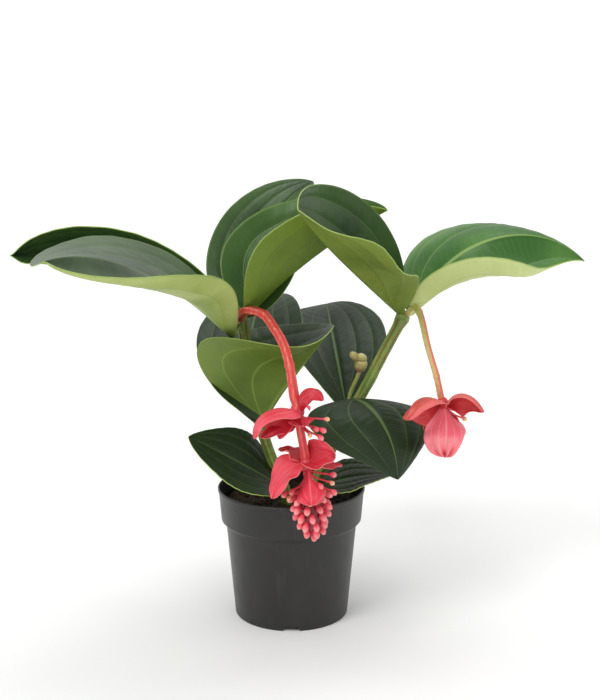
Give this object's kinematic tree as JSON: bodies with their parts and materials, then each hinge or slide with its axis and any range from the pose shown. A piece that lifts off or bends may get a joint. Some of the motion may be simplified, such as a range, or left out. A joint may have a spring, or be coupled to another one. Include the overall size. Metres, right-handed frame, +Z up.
{
  "type": "potted medinilla",
  "caption": "Medinilla with broad ribbed leaves and two hanging coral-pink flower heads, in a dark plastic nursery pot.",
  "frame": {"origin": "centre of the pot's base, on the underside of the pad in the middle of the base", "axes": "+Z up along the pot's axis; +X to the right as the plant is seen from its front; the hanging flower heads are on the -Y side"},
  "size_m": [0.6733, 0.4523, 0.5064],
  "materials": {
    "pot_plastic": "satin, near black",
    "potting_soil": "matt, dark brown peat",
    "stem_green": "satin, yellow-green with blunt ridges",
    "leaf_green": "leathery with a soft sheen",
    "leaf_dark_green": "leathery with a soft sheen",
    "peduncle_coral": "satin, coral red",
    "bract_pink": "soft satin, coral pink",
    "bud_pink": "smooth satin, pink",
    "young_bud": "matt, olive and cream"
  },
  "bodies": {
    "root": {"pot": "pot_plastic", "soil": "potting_soil", "stem_left": "stem_green", "stem_right": "stem_green", "young_bud_shoot": "young_bud", "bloom_left_stalk": "peduncle_coral", "bloom_right_stalk": "peduncle_coral", "bloom_left_upper_bracts": "bract_pink", "bloom_left_lower_bracts": "bract_pink", "bloom_right_bracts": "bract_pink", "bloom_left_buds": "bud_pink", "leaf_left_back": "leaf_green", "leaf_left_front": "leaf_green", "leaf_top_back": "leaf_green", "leaf_top_front": "leaf_green", "leaf_right_inner": "leaf_green", "leaf_right_outer": "leaf_green", "leaf_middle_left_back": "leaf_dark_green", "leaf_middle_left_front": "leaf_green", "leaf_middle_right_back": "leaf_dark_green", "leaf_middle_right_front": "leaf_dark_green", "leaf_low_left": "leaf_dark_green", "leaf_low_right": "leaf_dark_green"}
  },
  "joints": []
}
